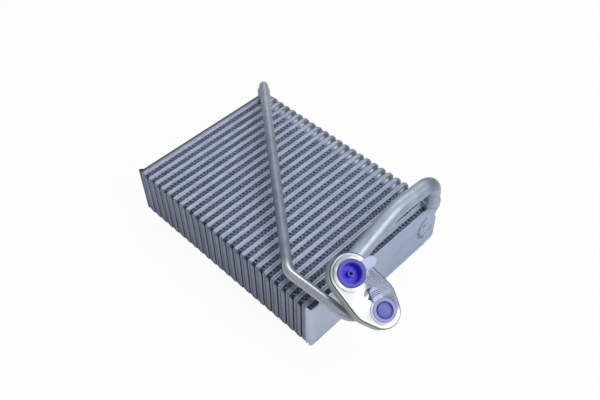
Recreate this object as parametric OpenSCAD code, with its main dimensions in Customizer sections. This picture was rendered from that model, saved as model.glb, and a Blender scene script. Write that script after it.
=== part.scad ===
// Evaporator core: brazed stack of flat drawn-cup tubes and corrugated fins, with a thick
// suction pipe and a thin liquid pipe that end in one two-port flange closed by two plugs.
// The core lies flat on one broad face. X runs along the stack, Y from the turn ends of the
// tubes to the tanks, Z is up. Sizes are in millimetres.

/* [Core] */
// flat tubes in the stack
tube_count = 24; // [6:1:24]
// distance from tube to tube
tube_pitch = 11; // [10:0.5:16]
// thickness of a flat tube
tube_thick = 5.4; // [4:0.1:6]
// sheet that the tube plates are stamped from
tube_sheet = 0.6; // [0.4:0.1:0.9]
// length of a tube from its turn end to the back of the tank
core_width = 200; // [140:1:300]
// depth of the core in the direction of the air
core_depth = 63; // [50:1:100]
// radius of a tube's corners at the turn end
turn_corner = 2.5; // [1:0.5:6]
// brazed rim around a tube's channel
tube_rim = 3; // [2:0.5:5]
// rib between a tube's two channels
tube_rib = 2.4; // [1.5:0.1:4]
// space at the turn end where the two channels join
turn_room = 12; // [8:1:20]
// reach of the spacer tab from a tube's turn end toward the next tube
tab_reach = 4.2; // [3:0.1:4.9]
// sheet of the spacer tab
tab_sheet = 0.8; // [0.6:0.1:1.4]
// distance of the spacer tab from the core's top
tab_margin = 4; // [2:0.5:10]
// distance of the spacer tab from the core's underside
tab_foot = 0.5; // [0:0.5:6]

/* [Fins] */
// length of one full fold of a fin
fin_period = 5.6; // [5:0.1:12]
// fin sheet
fin_sheet = 0.3; // [0.2:0.05:0.5]
// distance of the fins from the turn end
fin_start = 3.6; // [3.4:0.1:8]
// distance between the fins and the tank cups
fin_tank_gap = 1.2; // [0.5:0.1:4]
// distance of the fins from the core's top and bottom
fin_recess = 0.6; // [0.2:0.1:2]

/* [Tank] */
// radius of the drawn cups
cup_radius = 10; // [9:0.5:12]
// lip of the tube plates around the cups
cup_lip = 0.3; // [0.2:0.1:1.5]
// radius of the passage from cup to cup
cup_bore = 4.8; // [3:0.1:5.5]
// where the tubes' channels start to turn toward their tank, before the cups
neck_run = 16; // [10:1:24]

/* [Side plates] */
// left side plate
left_plate_thick = 3.2; // [1:0.1:4]
// length of the left plate's flared end
flare_length = 6.5; // [3:0.5:12]
// angle of the left plate's flared end
flare_angle = 45; // [20:1:60]
// radius of the left plate's rear corners
left_corner = 8; // [3:0.5:12]
// right side plate
right_plate_thick = 1.6; // [1:0.1:2.5]
// outer radius of the right plate's front bend
right_bend = 3.2; // [2.8:0.1:3.4]
// how far the right plate stands out behind the upper tank
right_margin = 1; // [0.5:0.5:4]
// height of the step under the right plate's tank end
right_step = 3; // [2:0.5:8]
// distance of that step from the tank's axis, toward the turn ends
step_forward = 4.7; // [3:0.1:12]
// width of the notch at the foot of the front bend
notch_width = 2.4; // [1.5:0.1:4]
// height of the notch at the foot of the front bend
notch_height = 3.5; // [2:0.1:8]
// outer radius of the pressed ring on the right plate
ring_radius = 8.7; // [6:0.1:9.5]
// height of the pressed ring
ring_height = 0.9; // [0.4:0.1:2]
// width of the pressed ring
ring_width = 2.2; // [1:0.1:4]
// height of the pressed ring's centre above the core's underside
ring_level = 26.5; // [20:0.5:32]
// distance of the pressed ring's centre from the tank's axis, toward the turn ends
ring_forward = 5; // [3:0.5:7]
// radius of the two small holes in the right plate
pilot_radius = 1.3; // [0.8:0.1:2]

/* [Suction pipe] */
// outside diameter
suction_od = 18; // [12:0.5:22]
// wall
suction_wall = 1.2; // [0.8:0.1:2]
// how much thinner, inside and outside, the wall of both pipes is in a bend
bend_thinning = 0.1; // [0.05:0.05:0.2]
// height of the pipe's centre over the core at the elbow
suction_rise = 39; // [30:1:50]
// radius of the elbow and of the last bend
suction_bend = 22; // [19:1:26]
// radius of the slight bend in the run
suction_sway_bend = 70; // [40:5:120]
// distance of the slight bend from the elbow
suction_sway_run = 61; // [30:1:90]
// sideways step of the run at the slight bend, toward the core
suction_sway = 2; // [0:0.1:6]
// height of the collar that the pipe stands in
suction_collar_height = 7; // [5:0.5:7.5]
// wall of the collar
suction_collar_wall = 1.5; // [1:0.1:3]
// floor under the pipe in the collar
suction_collar_floor = 2; // [1:0.1:4]
// distance from the flange's face back to the last bend's corner
suction_drop = 44; // [38:0.5:50]

/* [Liquid pipe] */
// outside diameter
liquid_od = 11; // [8:0.5:12]
// wall
liquid_wall = 1; // [0.7:0.1:1.5]
// height of the pipe's centre over the core at the elbow
liquid_rise = 28; // [27:1:40]
// radius of the elbow
liquid_elbow_bend = 11; // [9:0.5:11]
// radius of the bend over the core's front corner
liquid_corner_bend = 16; // [10:1:22]
// radius of the two bends behind the flange
liquid_end_bend = 12; // [9:0.5:12.5]
// distance of the front corner's bend from the right side plate, toward the core
corner_in = 41.5; // [30:0.5:60]
// distance of the front corner's bend from the turn ends
corner_back = 11.5; // [8:0.5:20]
// height of the front corner's bend over the core
corner_rise = 14; // [10:0.5:20]
// distance of the outer bend from the right side plate, away from the core
outer_out = 31.7; // [25:0.5:38]
// distance of the outer bend from the turn ends
outer_back = 16; // [12:0.5:20]
// height of the outer bend over the core
outer_rise = 10; // [9:0.5:13]
// height of the collar that the pipe stands in
liquid_collar_height = 15.5; // [8:0.5:16]
// wall of the collar
liquid_collar_wall = 2; // [1:0.1:4]
// floor under the pipe in the collar
liquid_collar_floor = 3; // [1:0.1:5]
// distance of the collar's centre from the back of the tank
liquid_foot_back = 17; // [14:0.5:18]
// distance from the flange's face back to the last bend's corner
liquid_drop = 34; // [32:0.5:38]

/* [Connectors] */
// wall of the two tank connectors
connector_wall = 1.2; // [0.8:0.1:2]
// radial play of a pipe in its collar or flange seat
pipe_play = 0.05; // [0.02:0.01:0.2]
// radius of the passage under the liquid pipe
liquid_passage = 1.8; // [1.2:0.1:2.2]
// half the length of the passage under the suction pipe
suction_passage = 7; // [4:0.5:7.5]

/* [Flange] */
// distance between the two ports
port_spacing = 44.5; // [42:0.5:52]
// thickness of the flange
flange_thick = 16; // [15.5:0.5:19]
// radius of the flange round the large port
flange_large = 20; // [18:0.1:22]
// radius of the flange's belly between the ports
flange_middle = 22.4; // [20:0.1:24]
// distance of the belly's centre from the large port
middle_offset = 31.5; // [24:0.5:34]
// radius of the flange round the small port
flange_small = 17; // [15:0.1:19]
// chamfer of the flange's face
flange_chamfer = 1.2; // [0.5:0.1:2]
// distance of the bolt hole from the large port
bolt_offset = 25; // [23:0.1:26]
// radius of the bolt hole
bolt_radius = 5; // [3:0.1:5.5]
// radius of the raised boss round the large port
large_boss = 16.8; // [15:0.1:17.5]
// radius of the raised boss round the small port
small_boss = 12.4; // [11.6:0.1:13.5]
// height of the bosses
boss_height = 2.4; // [1:0.1:4]
// radius of the large port
large_port = 11.5; // [9.5:0.1:12.5]
// radius of the small port
small_port = 8; // [6:0.1:9]
// depth of the ports below the flange's face
port_depth = 9; // [8.7:0.1:9.4]
// depth of the pipe seats in the flange's back
seat_depth = 6; // [4:0.5:6]
// flange's large port from the right side plate's outer face, outward
flange_out = 20; // [18:0.1:24]
// flange's large port from the turn ends
flange_back = 31.6; // [28:0.1:36]
// flange's large port over the core
flange_rise = 50.6; // [48:0.1:56]
// lean of the flange about its long axis
flange_roll = 12; // [6:1:16]
// slope of the flange's long axis
flange_slope = 30; // [26:1:36]
// turn of the flange seen from above
flange_turn = 4; // [0:1:8]

/* [Plugs] */
// radial play of the plugs in their ports
plug_play = 0.1; // [0.05:0.05:0.3]
// wall of the plugs
plug_wall = 2.1; // [1.2:0.1:3]
// floor of the plugs
plug_floor = 1.6; // [1:0.1:2.5]
// height of the large plug's rim
large_rim_height = 1.8; // [1:0.1:3]
// width of the large plug's rim past the port
large_rim = 2; // [1:0.1:4]
// depth that the plugs go into their ports
plug_depth = 8.5; // [6:0.1:8.6]
// radius of the nub in the large plug
nub_radius = 3.2; // [2:0.1:4]
// radius of the hole in the nub
nub_bore = 1.6; // [1:0.1:1.8]
// height of the nub
nub_height = 5; // [3:0.5:7]
// width of the large plug's tab
large_tab_width = 10; // [5:0.5:11]
// reach of the large plug's tab from the port's centre
large_tab_reach = 27; // [20:0.5:32]
// direction of the large plug's tab
large_tab_turn = 79; // [60:1:95]
// thickness of the tabs
tab_thick = 1.4; // [0.8:0.1:2]
// height of the small plug's rim
small_rim_height = 1.6; // [1.4:0.1:3]
// width of the small plug's rim past the port
small_rim = 3.2; // [2:0.1:4.5]
// radius of the round hollow in the small plug's front
small_dish = 8; // [5:0.1:9]
// depth of the round hollow in the small plug's front
small_dish_depth = 1.1; // [0.4:0.1:1.2]
// width of the small plug's tab
small_tab_width = 10; // [7:0.5:13]
// reach of the small plug's tab from the port's centre
small_tab_reach = 23; // [17:0.5:25]
// direction of the small plug's tab
small_tab_turn = 168; // [155:1:180]
// grip ribs on the small plug's tab
grip_ribs = 4; // [2:1:5]
// distance of the first grip rib from the tab's end
grip_rib_start = 3.2; // [3:0.1:8]
// width of a grip rib and of the space between two ribs
grip_rib_width = 0.9; // [0.6:0.1:1.4]
// height of a grip rib
grip_rib_height = 0.5; // [0.3:0.1:1]
// distance of a grip rib's ends from the tab's edges
grip_rib_margin = 1; // [0.6:0.1:2]

/* [Frame] */
// distance from the first tube to the frame's origin, along the stack
origin_x = 162.93; // [100:0.01:200]
// distance from the turn ends to the frame's origin
origin_y = 100.5; // [50:0.01:150]

/* [Hidden] */
$fn = 96;
// how far a cutting shape runs past the face that it cuts
past = 1;
// how far a pipe's straight stretch laps over the bend next to it, and a rib into its tab
lap = 0.4;

half_tube = tube_thick / 2;
fin_gap = tube_pitch - tube_thick;
cup_rise = fin_gap / 2;
last_x = (tube_count - 1) * tube_pitch;
right_inner = last_x + half_tube + fin_gap;
right_outer = right_inner + right_plate_thick;
lobe_radius = cup_radius + cup_lip;
tank_y = core_width - lobe_radius;
upper_z = core_depth - lobe_radius;
tank_split = core_depth - 2 * lobe_radius;
lower_top_z = tank_split - lobe_radius;
lower_bottom_z = lobe_radius;
cup_front_y = tank_y - cup_radius;
fin_end = cup_front_y - fin_tank_gap;
rib_low = core_depth / 2 - tube_rib / 2;
rib_high = core_depth / 2 + tube_rib / 2;

suction_x = last_x + half_tube + fin_gap / 2;
liquid_x = half_tube + fin_gap / 2;
liquid_y = core_width - liquid_foot_back;
large_plug_radius = large_port - plug_play;
small_plug_radius = small_port - plug_play;
pipe_stop = flange_thick - seat_depth;

flange_place = [right_outer + flange_out, flange_back, core_depth + flange_rise];

suction_path = [
    [suction_x, tank_y, core_depth + suction_collar_floor],
    [suction_x, tank_y, core_depth + suction_rise],
    [suction_x - suction_sway, tank_y - suction_sway_run, core_depth + suction_rise],
    on_flange([0, 0, -suction_drop]),
    on_flange([0, 0, -pipe_stop])];
suction_bends = [suction_bend, suction_sway_bend, suction_bend];

liquid_path = [
    [liquid_x, liquid_y, core_depth + liquid_collar_floor],
    [liquid_x, liquid_y, core_depth + liquid_rise],
    [right_outer - corner_in, corner_back, core_depth + corner_rise],
    [right_outer + outer_out, outer_back, core_depth + outer_rise],
    on_flange([port_spacing, 0, -liquid_drop]),
    on_flange([port_spacing, 0, -pipe_stop])];
liquid_bends = [liquid_elbow_bend, liquid_corner_bend, liquid_end_bend, liquid_end_bend];

function two_digits(n) = n < 10 ? str("0", n) : str(n);
function unit(v) = v / norm(v);
// a point given in the flange's own frame, found in the core's frame
function on_flange(p) =
    let (r = flange_roll, s = flange_slope, t = flange_turn)
    let (a = [p.x, p.y * cos(r) - p.z * sin(r), p.y * sin(r) + p.z * cos(r)])
    let (b = [a.x * cos(s) + a.z * sin(s), a.y, a.z * cos(s) - a.x * sin(s)])
    flange_place + [b.x * cos(t) - b.y * sin(t), b.x * sin(t) + b.y * cos(t), b.z];
// the angle that a path turns through at its point i, and the length the bend takes up
function turn_at(p, i) = acos(unit(p[i] - p[i - 1]) * unit(p[i + 1] - p[i]));
function run_out(p, bends, i) =
    i == 0 || i == len(p) - 1 ? 0 : bends[i - 1] * tan(turn_at(p, i) / 2);

// stands its children on the core's frame
module on_core() {
    translate([-origin_x, -origin_y, 0]) children();
}

// a flat outline drawn along Y and Z, made thick along X from the place given
module across(x, thick) {
    translate([x, 0, 0]) rotate([90, 0, 90]) linear_extrude(thick) children();
}

// a round on the tank's axis, stretched upward into a bar with round ends
module lobe(r, low, high) {
    translate([tank_y, low]) circle(r);
    if (high > low) {
        translate([tank_y, high]) circle(r);
        translate([tank_y - r, low]) square([2 * r, high - low]);
    }
}

module tube_outline() {
    c = turn_corner;
    for (z = [c, core_depth - c]) translate([c, z]) circle(c);
    translate([c, 0]) square([tank_y - c, core_depth]);
    translate([0, c]) square([c, core_depth - 2 * c]);
    lobe(lobe_radius, lower_bottom_z, lower_top_z);
    lobe(lobe_radius, upper_z, upper_z);
}

// the two channels of a tube: they join at the turn end, and each leads to its own cup
module channel_outline() {
    neck = cup_front_y - neck_run;
    wall = tube_rib / 2;
    top = core_depth - tube_rim;
    polygon([
        [tube_rim, tube_rim], [tank_y, tube_rim], [tank_y, tank_split - wall],
        [cup_front_y, tank_split - wall], [neck, rib_low], [tube_rim + turn_room, rib_low],
        [tube_rim + turn_room, rib_high], [neck, rib_high], [cup_front_y, tank_split + wall],
        [tank_y, tank_split + wall], [tank_y, top], [tube_rim, top]]);
}

// the profile of the cups on one or both sides of a tube, from their axis out to their round
// rim; inset makes the hollow inside them
module cup_profile(sides, inset) {
    r = cup_radius - inset;
    rise = cup_rise - inset;
    translate([0, inset - half_tube]) square([r, tube_thick - 2 * inset]);
    for (s = sides) mirror([0, s < 0 ? 1 : 0]) {
        square([r, half_tube]);
        translate([0, half_tube]) square([r - rise, rise]);
        translate([r - rise, half_tube]) intersection() {
            circle(rise);
            square(rise + past);
        }
    }
}

// the cups of one tank: a round one, or one with a straight middle between two heights
module cups(low, high, sides, inset) {
    if (high == low) translate([0, tank_y, low]) rotate([0, 90, 0])
        rotate_extrude() cup_profile(sides, inset);
    else {
        translate([0, tank_y, low]) rotate([0, 90, 0])
            rotate([0, 0, -90]) rotate_extrude(angle = 180) cup_profile(sides, inset);
        translate([0, tank_y, high]) rotate([0, 90, 0])
            rotate([0, 0, 90]) rotate_extrude(angle = 180) cup_profile(sides, inset);
        translate([0, tank_y, low]) linear_extrude(high - low)
            for (m = [0, 1]) mirror([0, m]) rotate(90) mirror([0, 1]) cup_profile(sides, inset);
    }
}

module bore(low, high, x, thick) {
    across(x, thick) lobe(cup_bore, low, high);
}

// one flat tube: two stamped plates brazed face to face, with a cup for each tank on both
// sides, and on all but the last tube a spacer tab toward the next one
module tube(k) {
    x = k * tube_pitch;
    first = k == 0;
    last = k == tube_count - 1;
    left_lower = !first;
    right_lower = !last;
    left_upper = k > 1;
    right_upper = k > 0 && !last;
    sides = [if (left_lower) -1, if (right_lower) 1];
    upper_sides = [if (left_upper) -1, if (right_upper) 1];
    color([0.68, 0.72, 0.8]) translate([x, 0, 0]) difference() {
        union() {
            across(-half_tube, tube_thick) tube_outline();
            cups(lower_bottom_z, lower_top_z, sides, 0);
            if (len(upper_sides) > 0) cups(upper_z, upper_z, upper_sides, 0);
            if (!last) translate([half_tube - tube_sheet, 0, tab_foot])
                cube([tab_reach + tube_sheet, tab_sheet, core_depth - tab_margin - tab_foot]);
        }
        across(-half_tube + tube_sheet, tube_thick - 2 * tube_sheet) channel_outline();
        cups(lower_bottom_z, lower_top_z, sides, tube_sheet);
        if (len(upper_sides) > 0) cups(upper_z, upper_z, upper_sides, tube_sheet);
        reach = half_tube + cup_rise + past;
        bore(lower_bottom_z, lower_top_z, first ? 0 : -reach, first ? reach : 2 * reach);
        bore(upper_z, upper_z, first ? 0 : -reach, first || last ? reach : 2 * reach);
    }
}

// one corrugated fin, folded from a strip, that fills the space after tube k
module fin(k) {
    x = k * tube_pitch + half_tube;
    folds = floor((fin_end - fin_start) / fin_period);
    half_fold = fin_period / 2;
    crest = fin_sheet * norm([fin_gap, half_fold]) / half_fold;
    right = [for (i = [0:2 * folds]) [i % 2 == 0 ? crest : fin_gap, i * half_fold]];
    left = [for (i = [2 * folds:-1:0]) [i % 2 == 0 ? 0 : fin_gap - crest, i * half_fold]];
    color([0.45, 0.48, 0.6]) translate([x, fin_start, fin_recess])
        linear_extrude(core_depth - 2 * fin_recess) polygon(concat(right, left));
}

// flat plate on the first tube, its front end flared away from the core
module left_side_plate() {
    t = left_plate_thick;
    r = left_corner;
    inner = -half_tube;
    away = [-sin(flare_angle), -cos(flare_angle)];
    foot = [inner, flare_length * cos(flare_angle)];
    tip = foot + flare_length * away;
    flat_y = foot.y + t * tan(flare_angle / 2);
    color([0.62, 0.66, 0.74]) union() {
        across(inner - t, t) {
            translate([flat_y, 0]) square([core_width - r - flat_y, core_depth]);
            translate([core_width - r, r]) square([r, core_depth - 2 * r]);
            for (z = [r, core_depth - r]) translate([core_width - r, z]) circle(r);
        }
        linear_extrude(core_depth) polygon([
            [inner, flat_y], foot, tip, tip + t * [away.y, -away.x], [inner - t, flat_y]]);
    }
}

module right_outline() {
    r = lobe_radius + right_margin;
    step_y = tank_y - step_forward;
    square([step_y, core_depth]);
    translate([step_y, right_step]) square([tank_y - step_y, core_depth - right_step]);
    translate([tank_y, right_step]) square([lobe_radius, lower_top_z - right_step]);
    lobe(lobe_radius, lower_top_z, lower_top_z);
    lobe(r, core_depth - r, core_depth - r);
}

// plate over the last fin: bent round the core's front corner, notched at the foot of the
// bend, with a pressed ring and two small holes at its tank end
module right_side_plate() {
    t = right_plate_thick;
    b = right_bend;
    lap_x = last_x + half_tube;
    ring_y = tank_y - ring_forward;
    color([0.66, 0.72, 0.82]) difference() {
        union() {
            intersection() {
                across(right_inner, t) right_outline();
                translate([right_inner, b, 0]) cube([t, 2 * core_width, core_depth]);
            }
            linear_extrude(core_depth) {
                translate([lap_x, 0]) square([right_outer - b - lap_x, t]);
                translate([right_outer - b, b]) intersection() {
                    difference() {
                        circle(b);
                        circle(b - t);
                    }
                    translate([0, -b]) square(b);
                }
            }
            translate([right_inner + t, ring_y, ring_level]) rotate([0, 90, 0])
                cylinder(h = ring_height, r1 = ring_radius, r2 = ring_radius - ring_height);
        }
        translate([right_inner + t, ring_y, ring_level]) rotate([0, 90, 0])
            cylinder(h = ring_height + past, r = ring_radius - ring_width);
        translate([lap_x + t, -past, -past])
            cube([notch_width, t + 2 * past, notch_height + past]);
        for (p = [[ring_y - ring_radius + pilot_radius, ring_level + ring_radius + pilot_radius],
                  [ring_y - ring_radius, right_step + 2 * pilot_radius]])
            translate([right_inner - past, p.x, p.y]) rotate([0, 90, 0])
                cylinder(h = t + 2 * past, r = pilot_radius);
    }
}

// hollow cap that closes the lower tank behind the last tube and leads it up to the pipe
module suction_connector() {
    r = cup_radius;
    w = connector_wall;
    x = last_x + half_tube;
    collar = suction_od / 2 + pipe_play;
    color([0.7, 0.73, 0.76]) difference() {
        union() {
            across(x, fin_gap) {
                translate([tank_y, lower_bottom_z]) circle(r);
                translate([tank_y - r, lower_bottom_z]) square([2 * r, core_depth - lower_bottom_z]);
            }
            translate([suction_x, tank_y, core_depth])
                cylinder(h = suction_collar_height, r = collar + suction_collar_wall);
        }
        across(x - past, fin_gap - w + past) {
            translate([tank_y, lower_bottom_z]) circle(r - w);
            translate([tank_y - r + w, lower_bottom_z])
                square([2 * (r - w), core_depth - w - lower_bottom_z]);
        }
        translate([x + w, tank_y - suction_passage, core_depth - w - past])
            cube([fin_gap - 2 * w, 2 * suction_passage, w + past + suction_collar_floor + past]);
        translate([suction_x, tank_y, core_depth + suction_collar_floor])
            cylinder(h = suction_collar_height, r = collar);
    }
}

// hollow ring between the first two tubes that lets the liquid into the upper tank
module liquid_connector() {
    x = half_tube;
    collar = liquid_od / 2 + pipe_play;
    color([0.7, 0.73, 0.76]) difference() {
        union() {
            across(x, fin_gap) translate([tank_y, upper_z]) circle(cup_radius);
            translate([liquid_x, liquid_y, upper_z])
                cylinder(h = core_depth - upper_z, r = fin_gap / 2);
            translate([liquid_x, liquid_y, core_depth])
                cylinder(h = liquid_collar_height, r = collar + liquid_collar_wall);
        }
        across(x - past, fin_gap + 2 * past)
            translate([tank_y, upper_z]) circle(cup_radius - connector_wall);
        translate([liquid_x, liquid_y, upper_z])
            cylinder(h = core_depth + liquid_collar_floor + past - upper_z, r = liquid_passage);
        translate([liquid_x, liquid_y, core_depth + liquid_collar_floor])
            cylinder(h = liquid_collar_height, r = collar);
    }
}

// the direction of a path's stretch i, and the axis of its bend at point i
function heading(p, i) = unit(p[i + 1] - p[i]);
function bend_axis(p, i) = unit(cross(heading(p, i - 1), heading(p, i)));
// how far the pipe rolls about itself from one bend to the next
function roll_at(p, i) = i == 1 ? 0 :
    let (old = bend_axis(p, i - 1), new = bend_axis(p, i))
    atan2(cross(old, new) * heading(p, i - 1), old * new);

module pipe_wall(od, wall, thin) {
    difference() {
        circle(od / 2 - thin);
        circle(od / 2 - wall + thin);
    }
}

// the pipe from stretch i on, in a frame whose Z runs along that stretch and whose Y is the
// axis of the bend before it
module pipe_from(p, bends, od, wall, i) {
    last = len(p) - 2;
    run = norm(p[i + 1] - p[i]) - run_out(p, bends, i) - run_out(p, bends, i + 1);
    before = i > 0 ? lap : 0;
    after = i < last ? lap : 0;
    translate([0, 0, -before]) linear_extrude(before + run + after) pipe_wall(od, wall, 0);
    if (i < last) {
        r = bends[i];
        a = turn_at(p, i + 1);
        translate([0, 0, run]) rotate(roll_at(p, i + 1)) {
            translate([r, 0, 0]) rotate([90, 0, 180])
                rotate_extrude(angle = a) translate([r, 0]) pipe_wall(od, wall, bend_thinning);
            translate([r * (1 - cos(a)), 0, r * sin(a)]) rotate([0, a, 0])
                pipe_from(p, bends, od, wall, i + 1);
        }
    }
}

// a pipe bent along a path of points, with one bend radius for each point between its ends
module bent_pipe(p, bends, od, wall) {
    z_dir = heading(p, 0);
    y_dir = bend_axis(p, 1);
    x_dir = cross(y_dir, z_dir);
    multmatrix([
        [x_dir.x, y_dir.x, z_dir.x, p[0].x],
        [x_dir.y, y_dir.y, z_dir.y, p[0].y],
        [x_dir.z, y_dir.z, z_dir.z, p[0].z]]) pipe_from(p, bends, od, wall, 0);
}

// thick pipe from the elbow on the tank's top back over the core to the large port
module suction_pipe() {
    color([0.75, 0.77, 0.78]) bent_pipe(suction_path, suction_bends, suction_od, suction_wall);
}

// thin pipe from the tank's other end, over the core's front corner to the small port
module liquid_pipe() {
    color([0.75, 0.77, 0.78]) bent_pipe(liquid_path, liquid_bends, liquid_od, liquid_wall);
}

// stands its children on the flange, Z out of its face and X toward the small port
module at_flange() {
    translate(flange_place) rotate([flange_roll, flange_slope, flange_turn]) children();
}

// oval block that both pipes end in, with a raised ring round each port and one bolt hole
module port_flange() {
    c = flange_chamfer;
    discs = [[0, flange_large], [middle_offset, flange_middle], [port_spacing, flange_small]];
    color([0.85, 0.87, 0.86]) at_flange() difference() {
        union() {
            translate([0, 0, -flange_thick]) hull() for (d = discs) translate([d[0], 0, 0]) {
                cylinder(h = flange_thick - c, r = d[1], $fn = 64);
                cylinder(h = flange_thick, r = d[1] - c, $fn = 64);
            }
            cylinder(h = boss_height, r = large_boss);
            translate([port_spacing, 0, 0]) cylinder(h = boss_height, r = small_boss);
        }
        for (p = [[0, large_port, suction_od, suction_wall],
                  [port_spacing, small_port, liquid_od, liquid_wall]])
            translate([p[0], 0, 0]) {
                translate([0, 0, -port_depth]) cylinder(h = port_depth + boss_height + past, r = p[1]);
                translate([0, 0, -flange_thick - past])
                    cylinder(h = seat_depth + past, r = p[2] / 2 + pipe_play);
                translate([0, 0, -flange_thick])
                    cylinder(h = flange_thick, r = p[2] / 2 - p[3]);
            }
        translate([bolt_offset, 0, -flange_thick - past])
            cylinder(h = flange_thick + boss_height + 2 * past, r = bolt_radius);
    }
}

// flat pull tab from a plug's rim, with a round end
module pull_tab(from, reach, width, turn) {
    rotate(turn) linear_extrude(tab_thick) {
        translate([from, -width / 2]) square([reach - from - width / 2, width]);
        translate([reach - width / 2, 0]) circle(width / 2);
    }
}

// hollow push-in plug with a broad rim, a hollow nub on its floor and a plain pull tab
module large_port_plug() {
    r = large_plug_radius;
    bottom = boss_height - plug_depth;
    color([0.25, 0.2, 0.65]) at_flange() {
        difference() {
            union() {
                translate([0, 0, bottom]) cylinder(h = plug_depth + past, r = r);
                translate([0, 0, boss_height]) cylinder(h = large_rim_height, r = large_port + large_rim);
                translate([0, 0, boss_height])
                    pull_tab(r, large_tab_reach, large_tab_width, large_tab_turn);
            }
            translate([0, 0, bottom + plug_floor])
                cylinder(h = plug_depth + large_rim_height, r = r - plug_wall);
        }
        translate([0, 0, bottom + plug_floor]) difference() {
            cylinder(h = nub_height, r = nub_radius);
            cylinder(h = nub_height + past, r = nub_bore);
        }
    }
}

// push-in plug, hollow from behind, with a shallow round hollow in front and a ribbed tab
module small_port_plug() {
    r = small_plug_radius;
    top = boss_height + small_rim_height;
    bottom = boss_height - plug_depth;
    dish_floor = top - small_dish_depth;
    color([0.5, 0.5, 0.85]) at_flange() translate([port_spacing, 0, 0]) {
        difference() {
            union() {
                translate([0, 0, bottom]) cylinder(h = plug_depth + past, r = r);
                translate([0, 0, boss_height]) cylinder(h = small_rim_height, r = small_port + small_rim);
                translate([0, 0, boss_height])
                    pull_tab(r, small_tab_reach, small_tab_width, small_tab_turn);
            }
            translate([0, 0, dish_floor]) cylinder(h = small_dish_depth + past, r = small_dish);
            translate([0, 0, bottom - past])
                cylinder(h = dish_floor - plug_floor - bottom + past, r = r - plug_wall);
        }
        rotate(small_tab_turn) for (i = [0:grip_ribs - 1])
            translate([small_tab_reach - grip_rib_start - 2 * i * grip_rib_width,
                       grip_rib_margin - small_tab_width / 2, boss_height + tab_thick - lap])
                cube([grip_rib_width, small_tab_width - 2 * grip_rib_margin, grip_rib_height + lap]);
    }
}

for (k = [0:tube_count - 1]) {
    on_core() tube(k);
    on_core() fin(k);
}
on_core() left_side_plate();
on_core() right_side_plate();
on_core() suction_connector();
on_core() liquid_connector();
on_core() suction_pipe();
on_core() liquid_pipe();
on_core() port_flange();
on_core() large_port_plug();
on_core() small_port_plug();
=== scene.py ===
from math import cos, pi, radians, sin, tan

import bmesh
import bpy
from mathutils import Matrix, Vector


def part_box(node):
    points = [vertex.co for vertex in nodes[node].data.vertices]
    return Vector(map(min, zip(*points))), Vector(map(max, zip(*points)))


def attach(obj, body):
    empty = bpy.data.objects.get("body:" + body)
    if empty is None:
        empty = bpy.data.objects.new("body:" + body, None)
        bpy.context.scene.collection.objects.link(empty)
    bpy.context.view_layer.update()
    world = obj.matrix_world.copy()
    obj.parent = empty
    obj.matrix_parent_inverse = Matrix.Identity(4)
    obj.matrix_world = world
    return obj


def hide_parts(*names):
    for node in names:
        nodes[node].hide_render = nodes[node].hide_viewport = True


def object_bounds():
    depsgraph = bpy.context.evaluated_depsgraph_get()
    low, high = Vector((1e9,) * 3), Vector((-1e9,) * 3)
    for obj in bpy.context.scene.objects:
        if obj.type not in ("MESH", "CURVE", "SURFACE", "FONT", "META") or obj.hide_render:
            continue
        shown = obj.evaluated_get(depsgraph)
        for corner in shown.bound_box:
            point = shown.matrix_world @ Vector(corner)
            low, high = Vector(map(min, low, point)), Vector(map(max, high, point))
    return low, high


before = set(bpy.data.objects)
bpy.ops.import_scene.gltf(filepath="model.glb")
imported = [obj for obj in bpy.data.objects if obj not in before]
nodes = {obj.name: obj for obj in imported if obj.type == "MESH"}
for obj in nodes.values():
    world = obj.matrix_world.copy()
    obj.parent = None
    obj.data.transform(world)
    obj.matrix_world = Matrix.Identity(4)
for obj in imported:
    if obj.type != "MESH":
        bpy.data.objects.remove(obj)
cad_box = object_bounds()

# The camera stands where the photograph was taken from: above the front right corner of the
# core, turned a little about its own axis.
CAMERA_AT = Vector((0.35697, -0.3646, 0.6359))
CAMERA_AZIMUTH = radians(45.471)
CAMERA_ELEVATION = radians(48.213)
CAMERA_ROLL = radians(-1.101)
CAMERA_LENS = 42.51
CAMERA_SENSOR = 36.0
CAMERA_NEAR = 0.01

back = Vector((sin(CAMERA_AZIMUTH) * cos(CAMERA_ELEVATION),
               -cos(CAMERA_AZIMUTH) * cos(CAMERA_ELEVATION), sin(CAMERA_ELEVATION)))
level = Vector((cos(CAMERA_AZIMUTH), sin(CAMERA_AZIMUTH), 0.0))
upright = back.cross(level)
right = cos(CAMERA_ROLL) * level + sin(CAMERA_ROLL) * upright
up = -sin(CAMERA_ROLL) * level + cos(CAMERA_ROLL) * upright
camera = bpy.data.objects.new("camera", bpy.data.cameras.new("camera"))
camera.data.lens = CAMERA_LENS
camera.data.sensor_width = CAMERA_SENSOR
camera.data.sensor_fit = "HORIZONTAL"
camera.data.clip_start = CAMERA_NEAR
camera.matrix_world = Matrix.Translation(CAMERA_AT) @ Matrix((right, up, back)).transposed().to_4x4()
bpy.context.scene.collection.objects.link(camera)
bpy.context.scene.camera = camera
bpy.context.scene.view_settings.view_transform = "Standard"


# The floor is a plain sheet of white paper. The camera sees it nearly pure white, with a soft
# shadow of the core, and metal shows a share of that white. Under the core it is fully in shade.
FLOOR_HALF = 3.0
FLOOR_WHITE = (0.9, 0.9, 0.92)
FLOOR_CLOUDS = 0.97
FLOOR_CLEAR = 0.95
METAL_SHOWS = 0.25
WHITE = (1.0, 1.0, 1.0)
SHADE_LEFT = 0.003
SHADE_FRONT = 0.0005
SHADE_SOFT_X = (0.002, 0.002)
SHADE_SOFT_Y = (0.0015, 0.004)


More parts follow.
